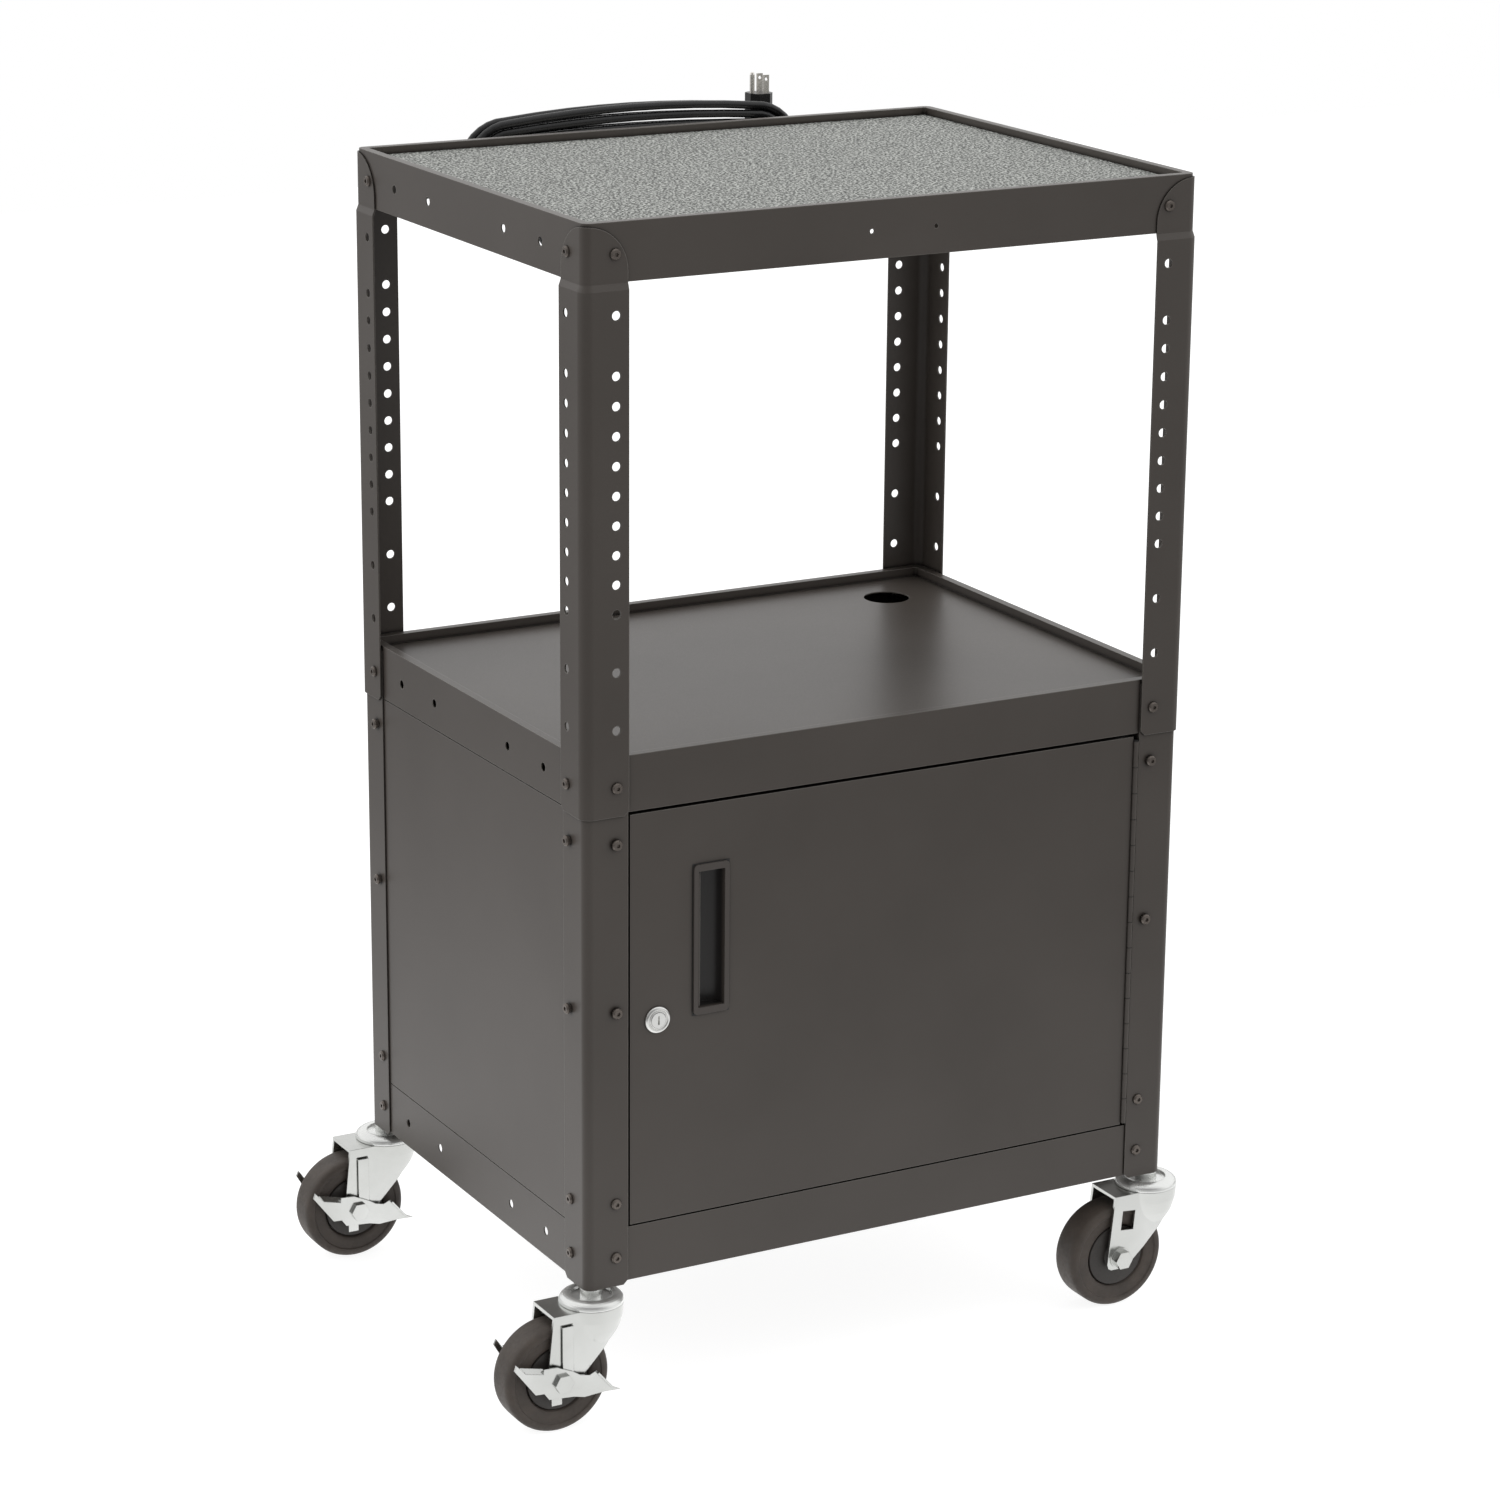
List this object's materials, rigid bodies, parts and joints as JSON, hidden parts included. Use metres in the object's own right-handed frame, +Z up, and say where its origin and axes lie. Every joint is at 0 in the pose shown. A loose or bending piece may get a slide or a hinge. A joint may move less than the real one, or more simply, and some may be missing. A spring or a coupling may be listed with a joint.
{
  "type": "projector cart",
  "caption": "Steel cart on casters with a height-adjustable top shelf, an open middle shelf, a lockable cabinet and an outlet unit with its wound supply cord.",
  "frame": {"origin": "centre of the underside of the cart's bounding box, on the floor", "axes": "+Z up, the door faces -Y, +X to the right seen from the front"},
  "size_m": [0.7042, 0.5558, 1.1],
  "materials": {
    "powder_coat": "satin",
    "black_screws": "satin",
    "zinc": "polished",
    "mat": "matte",
    "light_housing": "matte",
    "cord": "satin",
    "prongs": "polished",
    "tyre": "matte",
    "black_plastic": "satin"
  },
  "bodies": {
    "lower_frame": {"lower_leg_front_left": "powder_coat", "lower_leg_front_right": "powder_coat", "lower_leg_back_left": "powder_coat", "lower_leg_back_right": "powder_coat", "middle_shelf": "powder_coat", "bottom_shelf": "powder_coat", "side_panel_left": "powder_coat", "side_panel_right": "powder_coat", "back_panel": "powder_coat", "hinge_leaf_frame": "powder_coat", "hinge_pin": "powder_coat", "lower_frame_screws": "black_screws", "lower_frame_nuts": "zinc", "caster_stem_front_left": "zinc", "caster_stem_front_right": "zinc", "caster_stem_back_left": "zinc", "caster_stem_back_right": "zinc"},
    "upper_frame": {"top_shelf": "powder_coat", "shelf_mat": "mat", "upper_leg_front_left": "powder_coat", "upper_leg_front_right": "powder_coat", "upper_leg_back_left": "powder_coat", "upper_leg_back_right": "powder_coat", "top_screws": "black_screws", "top_nuts": "zinc", "power_housing": "light_housing", "outlet_block": "black_plastic", "cord_cleats": "black_plastic", "strain_relief": "cord", "cord_lead": "cord", "cord_hank": "cord", "plug_body": "cord", "plug_prongs": "prongs"},
    "door": {"door_panel": "powder_coat", "handle_cup": "black_plastic", "hinge_leaf_door": "powder_coat", "lock_housing": "zinc", "lock_nut": "zinc"},
    "lock_core": {"lock_cylinder": "zinc", "lock_cam": "zinc"},
    "caster_front_left": {"fork_front_left": "zinc", "axle_bolt_front_left": "zinc", "brake_strip_front_left": "zinc"},
    "wheel_front_left": {"wheel_hub_front_left": "black_plastic", "tyre_front_left": "tyre"},
    "brake_front_left": {"brake_levers_front_left": "zinc"},
    "caster_front_right": {"fork_front_right": "zinc", "axle_bolt_front_right": "zinc"},
    "wheel_front_right": {"wheel_hub_front_right": "black_plastic", "tyre_front_right": "tyre"},
    "caster_back_left": {"fork_back_left": "zinc", "axle_bolt_back_left": "zinc", "brake_strip_back_left": "zinc"},
    "wheel_back_left": {"wheel_hub_back_left": "black_plastic", "tyre_back_left": "tyre"},
    "brake_back_left": {"brake_levers_back_left": "zinc"},
    "caster_back_right": {"fork_back_right": "zinc", "axle_bolt_back_right": "zinc"},
    "wheel_back_right": {"wheel_hub_back_right": "black_plastic", "tyre_back_right": "tyre"}
  },
  "joints": [
    {"name": "height", "type": "slide", "parent": "lower_frame", "child": "upper_frame", "axis": [0, 0, 1], "range_m": [-0.3048, 0]},
    {"name": "door_hinge", "type": "hinge", "parent": "lower_frame", "child": "door", "pos_m": [0.28863, -0.25362, 0.3663], "axis": [0, 0, 1], "range_deg": [0, 120]},
    {"name": "lock_turn", "type": "hinge", "parent": "door", "child": "lock_core", "pos_m": [-0.20153, -0.25312, 0.3663], "axis": [0, 1, 0], "range_deg": [0, 90]},
    {"name": "swivel_front_left", "type": "hinge", "parent": "lower_frame", "child": "caster_front_left", "pos_m": [-0.26212, -0.24463, 0.1243], "axis": [0, 0, 1], "continuous": true},
    {"name": "wheel_spin_front_left", "type": "hinge", "parent": "caster_front_left", "child": "wheel_front_left", "pos_m": [-0.30212, -0.24463, 0.05], "axis": [0, 1, 0], "continuous": true},
    {"name": "brake_turn_front_left", "type": "hinge", "parent": "caster_front_left", "child": "brake_front_left", "pos_m": [-0.30212, -0.24463, 0.05], "axis": [0, 1, 0], "range_deg": [-15, 0]},
    {"name": "swivel_front_right", "type": "hinge", "parent": "lower_frame", "child": "caster_front_right", "pos_m": [0.32288, -0.24463, 0.1243], "axis": [0, 0, 1], "continuous": true},
    {"name": "wheel_spin_front_right", "type": "hinge", "parent": "caster_front_right", "child": "wheel_front_right", "pos_m": [0.28287, -0.24463, 0.05], "axis": [0, 1, 0], "continuous": true},
    {"name": "swivel_back_left", "type": "hinge", "parent": "lower_frame", "child": "caster_back_left", "pos_m": [-0.26212, 0.19437, 0.1243], "axis": [0, 0, 1], "continuous": true},
    {"name": "wheel_spin_back_left", "type": "hinge", "parent": "caster_back_left", "child": "wheel_back_left", "pos_m": [-0.30212, 0.19437, 0.05], "axis": [0, 1, 0], "continuous": true},
    {"name": "brake_turn_back_left", "type": "hinge", "parent": "caster_back_left", "child": "brake_back_left", "pos_m": [-0.30212, 0.19437, 0.05], "axis": [0, 1, 0], "range_deg": [-15, 0]},
    {"name": "swivel_back_right", "type": "hinge", "parent": "lower_frame", "child": "caster_back_right", "pos_m": [0.32288, 0.19437, 0.1243], "axis": [0, 0, 1], "continuous": true},
    {"name": "wheel_spin_back_right", "type": "hinge", "parent": "caster_back_right", "child": "wheel_back_right", "pos_m": [0.28287, 0.19437, 0.05], "axis": [0, 1, 0], "continuous": true}
  ]
}
